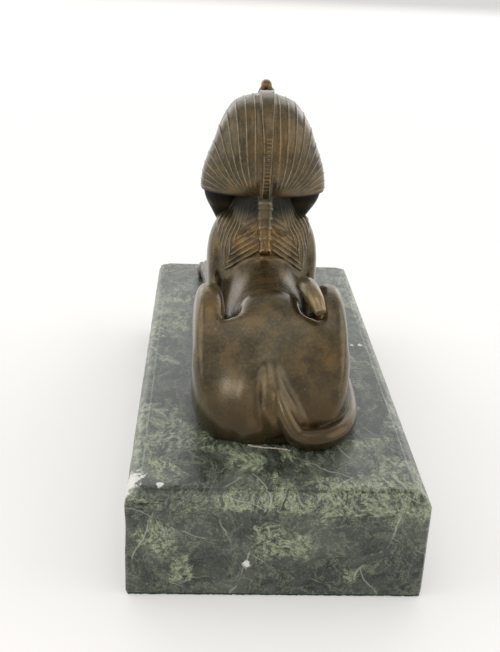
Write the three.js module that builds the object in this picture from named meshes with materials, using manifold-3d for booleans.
// A couchant Egyptian-revival sphinx in patinated bronze, on a moulded green marble plinth with a
// baize pad under it. Millimetres, +Z up, the sphinx looks along -Y, and the origin lies in the
// middle of the pad's underside.
import * as THREE from 'three';
import { mergeVertices } from 'three/addons/utils/BufferGeometryUtils.js';
import Module from 'manifold-3d';

const wasm = await Module();
wasm.setup();

// Driving dimensions
const GAP = 0.3;

const PAD = { inset: 1.2, thickness: 1 };

const PLINTH = {
  width: 120,
  length: 267,
  top: 48,
  mouldingDrop: 4.6,
  mouldingWidth: 6.1,
  ovoloWidth: 4.4,
  ovoloRise: 3.4,
  fillet: 0.5,
  ovoloSteps: 6,
};

// The sphinx was bedded on its plinth a little off the middle, and turned by a degree or so.
const PLACING = { x: 3.1, turn: THREE.MathUtils.degToRad(1.4) };

const BRONZE = { color: 0x5a4630, roughness: 0.38, metalness: 0.85 };
const MARBLE = { color: 0x39443c, roughness: 0.35, metalness: 0 };
const BAIZE = { color: 0x1e4a38, roughness: 0.95, metalness: 0 };

// Heights are measured from the plinth's top, and Y from the plinth's middle.
const RUMP = { rear: 95, top: 51.5, halfWidth: 30 };
const HAUNCH = { x: 26.2, y: 55, z: 27, rx: 8.8, ry: 28.5, rz: 27, squareness: 2.8 };
const SHOULDER = { x: 16, y: -1, z: 51, rx: 11.2, ry: 18, rz: 21.5 };
const FORELEG = { x: 20.2, elbow: 11, wrist: -86, tip: -115, halfWidth: 7.4 };
const HIND_FOOT = { x: 25, heel: 82, tip: 4, halfWidth: 6.4 };
const HOOD = { top: 125.8, wing: -14, narrowing: 104 };
const FACE = { y: -26, z: 101, rx: 14.2, ry: 17.5, rz: 18, front: -43.5 };
const COBRA = { x: -2, y: -44, bottom: 110, top: 130.2, halfWidth: 4.2 };
const QUEUE = { top: 80.5, bottom: 57.5, segments: 5, halfWidth: 3.3 };

// ---- Closed solids -------------------------------------------------------------------------------

function toSolid(geometry) {
  const bare = geometry.clone();
  for (const name of Object.keys(bare.attributes)) {
    if (name !== 'position') bare.deleteAttribute(name);
  }
  const merged = mergeVertices(bare, 1e-4);
  return new wasm.Manifold(new wasm.Mesh({
    numProp: 3,
    vertProperties: new Float32Array(merged.attributes.position.array),
    triVerts: new Uint32Array(merged.index.array),
  }));
}

function toGeometry(solid) {
  const mesh = solid.getMesh();
  const geometry = new THREE.BufferGeometry();
  geometry.setAttribute('position', new THREE.BufferAttribute(mesh.vertProperties, 3));
  geometry.setIndex(new THREE.BufferAttribute(mesh.triVerts, 1));
  geometry.computeVertexNormals();
  return geometry;
}

function joined(solids) {
  return solids.reduce((sum, solid) => sum.add(solid));
}

function mirrored(build) {
  return [-1, 1].map((side) => build(side));
}

// Rings of points, each a full turn, joined into one skin and closed by a fan at either end.
function ringSkin(rings) {
  const sides = rings[0].length;
  const positions = [];
  const indices = [];
  for (const ring of rings) {
    for (const point of ring) positions.push(point.x, point.y, point.z);
  }
  for (let i = 0; i < rings.length - 1; i += 1) {
    for (let j = 0; j < sides; j += 1) {
      const a = i * sides + j;
      const b = i * sides + ((j + 1) % sides);
      indices.push(a, b, a + sides, b, b + sides, a + sides);
    }
  }
  const addFan = (ring, first, outward) => {
    const middle = new THREE.Vector3();
    for (const point of ring) middle.addScaledVector(point, 1 / sides);
    const centre = positions.length / 3;
    positions.push(middle.x, middle.y, middle.z);
    for (let j = 0; j < sides; j += 1) {
      const a = first + j;
      const b = first + ((j + 1) % sides);
      if (outward) indices.push(centre, a, b);
      else indices.push(centre, b, a);
    }
  };
  addFan(rings[0], 0, false);
  addFan(rings[rings.length - 1], (rings.length - 1) * sides, true);
  const geometry = new THREE.BufferGeometry();
  geometry.setAttribute('position', new THREE.Float32BufferAttribute(positions, 3));
  geometry.setIndex(indices);
  return facingOut(geometry);
}

// Turns the triangles over where the skin's volume comes out negative.
function facingOut(geometry) {
  const position = geometry.attributes.position;
  const index = geometry.index.array;
  const corners = [new THREE.Vector3(), new THREE.Vector3(), new THREE.Vector3()];
  let volume = 0;
  for (let i = 0; i < index.length; i += 3) {
    corners.forEach((corner, k) => corner.fromBufferAttribute(position, index[i + k]));
    volume += corners[0].dot(corners[1].clone().cross(corners[2]));
  }
  if (volume < 0) {
    for (let i = 0; i < index.length; i += 3) [index[i + 1], index[i + 2]] = [index[i + 2], index[i + 1]];
  }
  return geometry;
}

const signedPower = (value, power) => Math.sign(value) * Math.abs(value) ** power;

// A limb, trunk or tail: smooth between stations of [x, y, z, half-width, half-height]. A
// squareness over 1 fills the section's corners, and one under 1 hollows them.
function limb(stations, sides, rings, squareness = 1) {
  const path = new THREE.CatmullRomCurve3(stations.map(([x, y, z]) => new THREE.Vector3(x, y, z)));
  const girth = new THREE.CatmullRomCurve3(stations.map(([, , , w, h]) => new THREE.Vector3(w, h, 0)));
  const across = new THREE.Vector3(1, 0, 0);
  const result = [];
  for (let i = 0; i <= rings; i += 1) {
    const t = i / rings;
    const centre = path.getPoint(t);
    const tangent = path.getTangent(t);
    const radius = girth.getPoint(t);
    const side = across.clone().addScaledVector(tangent, -across.dot(tangent)).normalize();
    const up = new THREE.Vector3().crossVectors(side, tangent);
    const ring = [];
    for (let j = 0; j < sides; j += 1) {
      const angle = (2 * Math.PI * j) / sides;
      ring.push(centre.clone()
        .addScaledVector(side, radius.x * signedPower(Math.cos(angle), 1 / squareness))
        .addScaledVector(up, radius.y * signedPower(Math.sin(angle), 1 / squareness)));
    }
    result.push(ring);
    across.copy(side);
  }
  return toSolid(ringSkin(result));
}

// A rounded mass with its widest, longest and highest half-sizes. A fullness of 2 gives an
// ellipsoid, and more than 2 fills its corners out.
function mass(x, y, z, rx, ry, rz, { segments = 14, tilt = 0, fullness = 2 } = {}) {
  const geometry = new THREE.SphereGeometry(1, segments, Math.max(6, Math.round(segments * 0.6)));
  const position = geometry.attributes.position;
  const point = new THREE.Vector3();
  for (let i = 0; i < position.count; i += 1) {
    point.fromBufferAttribute(position, i);
    const powers = point.toArray().reduce((sum, part) => sum + Math.abs(part) ** fullness, 0);
    point.multiplyScalar(powers ** (-1 / fullness));
    position.setXYZ(i, point.x, point.y, point.z);
  }
  geometry.rotateX(Math.PI / 2);
  geometry.scale(rx, ry, rz);
  geometry.rotateX(tilt);
  geometry.translate(x, y, z);
  return toSolid(geometry);
}

// ---- Plinth and pad ------------------------------------------------------------------------------

function rectangleRing(width, length, z) {
  return [[1, -1], [1, 1], [-1, 1], [-1, -1]]
    .map(([x, y]) => new THREE.Vector3((x * width) / 2, (y * length) / 2, z));
}

// Square sides, then an ovolo, a narrow flat and a small fillet up to the top, mitred at the corners.
function plinthGeometry() {
  const base = PAD.thickness + GAP;
  const springing = PLINTH.top - PLINTH.mouldingDrop;
  const profile = [[0, base], [0, springing]];
  for (let i = 1; i <= PLINTH.ovoloSteps; i += 1) {
    const angle = (Math.PI / 2) * (i / PLINTH.ovoloSteps);
    profile.push([
      PLINTH.ovoloWidth * (1 - Math.cos(angle)),
      springing + PLINTH.ovoloRise * Math.sin(angle),
    ]);
  }
  profile.push([PLINTH.mouldingWidth - PLINTH.fillet, springing + PLINTH.ovoloRise]);
  profile.push([PLINTH.mouldingWidth, PLINTH.top]);
  return ringSkin(profile.map(([inset, z]) => (
    rectangleRing(PLINTH.width - 2 * inset, PLINTH.length - 2 * inset, z))));
}

function padGeometry() {
  const width = PLINTH.width - 2 * PAD.inset;
  const length = PLINTH.length - 2 * PAD.inset;
  return new THREE.BoxGeometry(width, length, PAD.thickness).translate(0, 0, PAD.thickness / 2);
}

// ---- The sphinx's body ---------------------------------------------------------------------------

// One station of the trunk: the back's height, the belly's height and the half-width.
const trunkStation = (y, back, belly, halfWidth) => (
  [0, y, (back + belly) / 2, halfWidth, (back - belly) / 2]);

function trunk() {
  return limb([
    trunkStation(RUMP.rear, 7, -3, 17),
    trunkStation(92, 14, -5, 23),
    trunkStation(86, 24.5, -8, 28),
    trunkStation(77.5, 36, -10, RUMP.halfWidth + 1),
    trunkStation(68, 46, -8, RUMP.halfWidth),
    trunkStation(60, RUMP.top, -6, 26),
    trunkStation(50, 53, -2, 20.5),
    trunkStation(38, 51, 2, 18.4),
    trunkStation(26, 52, 4, 18.4),
    trunkStation(14, 57.5, 3, 20),
    trunkStation(2, 65, 0, 22),
    trunkStation(-12, 69, -2, 22),
    trunkStation(-26, 66, -2, 20),
    trunkStation(-37, 57, 4, 15.5),
    trunkStation(-42.5, 45, 18, 7),
  ], 24, 24, 1.16);
}

// The neck spreads into the shoulders under the hood.
function neck() {
  return limb([
    [0, -4, 48, 21, 24],
    [0, -9, 60, 21.6, 24],
    [0, -10, 70, 18.6, 19],
    [0, -11, 79, 14.4, 15.4],
    [0, -15, 92, 12, 12],
  ], 18, 7);
}

function haunch(side) {
  const { x, y, z, rx, ry, rz, squareness } = HAUNCH;
  return mass(side * x, y, z, rx, ry, rz, { segments: 20, fullness: squareness });
}

function hindFoot(side) {
  const x = side * HIND_FOOT.x;
  const { heel, tip, halfWidth } = HIND_FOOT;
  const foot = limb([
    [side * 20.5, heel + 2, 4, 2.5, 3.5],
    [side * 21.5, heel - 5, 5, 5.4, 5.4],
    [x, heel - 30, 4.5, halfWidth - 1, 5.5],
    [x, tip + 24, 4.5, halfWidth, 6],
    [x, tip + 8, 4.5, halfWidth + 0.8, 6.2],
    [x, tip + 2, 4, halfWidth - 0.4, 4.6],
  ], 10, 8);
  return foot.add(toes(side, HIND_FOOT.x, tip + 5, 5.6, 3.4));
}

// Four rounded toes side by side, the middle two a little ahead.
function toes(side, x, y, length, radius) {
  const spacing = radius * 1.12;
  return joined([-1.5, -0.5, 0.5, 1.5].map((place) => mass(
    side * x + place * spacing,
    y - (Math.abs(place) < 1 ? 1.6 : 0),
    radius * 0.95,
    radius * 0.78,
    length,
    radius * 1.35,
    { segments: 8 },
  )));
}

function foreleg(side) {
  const { x, elbow, wrist, tip, halfWidth } = FORELEG;
  const shoulder = mass(
    side * SHOULDER.x, SHOULDER.y, SHOULDER.z, SHOULDER.rx, SHOULDER.ry, SHOULDER.rz, { segments: 16 });
  const upperArm = limb([
    [side * 17, -12, 64, 4, 6],
    [side * 20.5, -8, 56, 6.4, 12],
    [side * 21.6, -3, 42, 6.4, 14],
    [side * 22.2, 5, 22, 5.8, 11],
    [side * (x + 1), elbow, 8, 4.6, 6],
  ], 12, 8);
  const forearm = limb([
    [side * (x + 0.8), elbow + 4, 7, 3, 5],
    [side * (x + 0.8), elbow - 4, 8, 6.6, 9.5],
    [side * x, -30, 8.5, 7.4, 9.6],
    [side * x, -62, 7, 6.9, 7.8],
    [side * x, wrist, 6, 7, 7],
    [side * (x + 0.4), tip + 17, 6, halfWidth + 0.4, 7.4],
    [side * (x + 0.4), tip + 6, 5, halfWidth - 0.2, 6],
  ], 12, 12);
  return joined([shoulder, upperArm, forearm, toes(side, x + 0.4, tip + 8.6, 7, 3.9)]);
}

// The tail leaves the rump in the middle, sweeps round the right haunch at its foot, comes up in
// front of the knee and lays its tuft back over the flank.
function tail() {
  return limb([
    [0, 80, 34, 3, 2.4],
    [-0.6, 86.8, 27, 3.4, 3],
    [-3.4, 92.4, 16, 3.6, 3.8],
    [-9.5, 97.8, 6, 4.4, 5.4],
    [-19, 98, 4.2, 4.8, 5],
    [-28.5, 90, 4.2, 4.2, 4.6],
    [-34, 75, 4.6, 3.6, 4.4],
    [-36.2, 56, 5, 3.3, 4],
    [-35.8, 36, 7.5, 3.2, 3.6],
    [-32, 22.5, 17, 3.1, 3.2],
    [-26.4, 22.5, 32, 3.1, 3.2],
    [-20.6, 31, 45, 3.2, 3.3],
    [-17.4, 43, 52.4, 3.6, 3.8],
    [-18.6, 57, 54.8, 4, 4.2],
    [-20.6, 68, 51.6, 3.4, 3.6],
    [-21.6, 73.4, 48.6, 1.6, 1.8],
  ], 8, 42);
}

// ---- The head and what it wears ------------------------------------------------------------------

// The hood's half-width at each height, with its back and front as seen from the side.
const HOOD_STATIONS = [
  { z: 81, w: 30.2, rear: 3, front: -19 },
  { z: 83.5, w: 30.6, rear: 4.6, front: -24 },
  { z: 91, w: 29.6, rear: 6.4, front: -28 },
  { z: 98, w: 27.4, rear: 7, front: -31 },
  { z: 105, w: 24.6, rear: 6, front: -35 },
  { z: 111.5, w: 21.2, rear: 3, front: -39.5 },
  { z: 117.5, w: 17.2, rear: -2, front: -40.5 },
  { z: 122.5, w: 12.2, rear: -8, front: -37 },
  { z: HOOD.top, w: 4.5, rear: -17, front: -27 },
];

function hood() {
  const sides = 28;
  const rings = HOOD_STATIONS.map(({ z, w, rear, front }) => {
    const crown = THREE.MathUtils.clamp((z - HOOD.narrowing) / 16, 0, 1);
    const widest = THREE.MathUtils.lerp(HOOD.wing, (rear + front) / 2, crown);
    const wingPower = THREE.MathUtils.lerp(1.3, 1, crown);
    const ring = [];
    for (let j = 0; j < sides; j += 1) {
      const angle = (2 * Math.PI * j) / sides;
      const reach = Math.cos(angle) > 0 ? rear - widest : widest - front;
      ring.push(new THREE.Vector3(
        w * signedPower(Math.sin(angle), wingPower), widest + reach * Math.cos(angle), z));
    }
    return ring;
  });
  return toSolid(ringSkin(rings));
}

// A lappet falls from the wing's corner in front of the shoulder and lies on the chest.
function lappet(side) {
  return limb([
    [side * 21.5, -16, 88, 8, 6],
    [side * 20.4, -18, 80, 8.4, 7],
    [side * 17.8, -24, 71, 7.4, 6.4],
    [side * 14.6, -31, 60, 6.2, 5.4],
    [side * 12.6, -37, 49, 5.4, 4],
    [side * 12, -39.4, 41, 5, 3],
  ], 10, 7, 1.5);
}

// The band over the crown, from the cobra down to the nape.
function crownBand() {
  const path = [
    [-1.4, -41, 117, 3.4, 1.4],
    [-1.2, -34, 123.4, 3.4, 1.4],
    [-0.8, -22, 126, 3.3, 1.4],
    [-0.4, -10, 123, 3.1, 1.4],
    [0, -1.4, 117.4, 2.5, 1.4],
    [0, 4.4, 109.6, 2.3, 1.4],
    [0, 7, 99, 2.1, 1.4],
    [0, 6, 89, 2.3, 1.4],
    [0, 3, 80.6, 2.6, 1.4],
  ];
  return limb(path, 6, 13);
}

function cobra() {
  const { x, y, bottom, top, halfWidth } = COBRA;
  const body = limb([
    [x, y + 2.8, bottom, 1.8, 1.4],
    [x, y + 0.8, bottom + 5, halfWidth, 1.8],
    [x, y, bottom + 10, halfWidth, 1.8],
    [x, y, bottom + 14, 3, 2],
    [x, y - 0.4, top - 3, 2.2, 2.2],
  ], 8, 6);
  const head = mass(x, y - 1, top - 2.6, 2.8, 4, 2.6, { segments: 8 });
  return body.add(head);
}

// Bound segments, each swelling to its lower rim, that lie down the spine.
function queue() {
  const { top, bottom, segments, halfWidth } = QUEUE;
  const spine = new THREE.CatmullRomCurve3([
    new THREE.Vector3(0, 5, top),
    new THREE.Vector3(0, 10.6, 69.6),
    new THREE.Vector3(0, 17.4, bottom),
  ]);
  const pieces = [];
  for (let i = 0; i < segments; i += 1) {
    const start = spine.getPoint(i / segments);
    const end = spine.getPoint((i + 1) / segments);
    const lean = Math.atan2(end.y - start.y, start.z - end.z);
    const length = start.distanceTo(end);
    const profile = [
      new THREE.Vector2(0, -0.4),
      new THREE.Vector2(halfWidth * 0.84, -0.4),
      new THREE.Vector2(halfWidth * 0.86, length * 0.5),
      new THREE.Vector2(halfWidth, length * 0.92),
      new THREE.Vector2(0, length * 0.92),
    ];
    const geometry = new THREE.LatheGeometry(profile, 10);
    geometry.scale(1, 1, 0.8);
    geometry.rotateX(-Math.PI / 2 + lean);
    geometry.translate(start.x, start.y, start.z);
    pieces.push(toSolid(facingOut(mergeVertices(stripped(geometry), 1e-4))));
  }
  return joined(pieces);
}

function stripped(geometry) {
  geometry.deleteAttribute('normal');
  geometry.deleteAttribute('uv');
  return geometry;
}

function face() {
  const { y, z, rx, ry, rz, front } = FACE;
  const skull = mass(0, y, z, rx, ry, rz, { segments: 18 });
  const jaw = mass(0, y - 6, z - 10, rx * 0.74, ry * 0.62, 8.6, { segments: 12 });
  const nose = limb([
    [0, front + 3.4, z + 5, 1.3, 1.6],
    [0, front + 0.4, z - 1, 1.6, 2],
    [0, front - 1, z - 4.4, 2.6, 2.2],
    [0, front + 2.4, z - 6, 2, 1.4],
  ], 8, 5);
  const lips = mass(0, front + 2.6, z - 9.6, 4.2, 2, 1.7, { segments: 10 });
  const chin = mass(0, front + 5, z - 15, 4.2, 3, 3, { segments: 10 });
  const ears = mirrored((side) => mass(
    side * (rx + 1.4), -29.5, z + 0.4, 2, 3.2, 5.2, { segments: 8, tilt: THREE.MathUtils.degToRad(12) }));
  return joined([skull, jaw, nose, lips, chin, ...ears]);
}

function sphinxGeometry() {
  const casting = joined([
    trunk(),
    neck(),
    ...mirrored(haunch),
    ...mirrored(hindFoot),
    ...mirrored(foreleg),
    tail(),
    hood(),
    ...mirrored(lappet),
    crownBand(),
    cobra(),
    queue(),
    face(),
  ]);
  const reach = 2 * PLINTH.length;
  const below = new THREE.BoxGeometry(reach, reach, reach).translate(0, 0, -reach / 2);
  return toGeometry(casting.subtract(toSolid(below)));
}

// ---- The object ----------------------------------------------------------------------------------

function namedMesh(name, geometry, look) {
  const mesh = new THREE.Mesh(geometry, new THREE.MeshStandardMaterial(look));
  mesh.name = name;
  return mesh;
}

const statue = new THREE.Group();
statue.add(namedMesh('baize_pad', padGeometry(), BAIZE));
statue.add(namedMesh('marble_plinth', plinthGeometry(), MARBLE));

const sphinx = namedMesh('bronze_sphinx', sphinxGeometry(), BRONZE);
sphinx.position.set(PLACING.x, 0, PLINTH.top + GAP);
sphinx.rotation.z = PLACING.turn;
statue.add(sphinx);

export default statue;
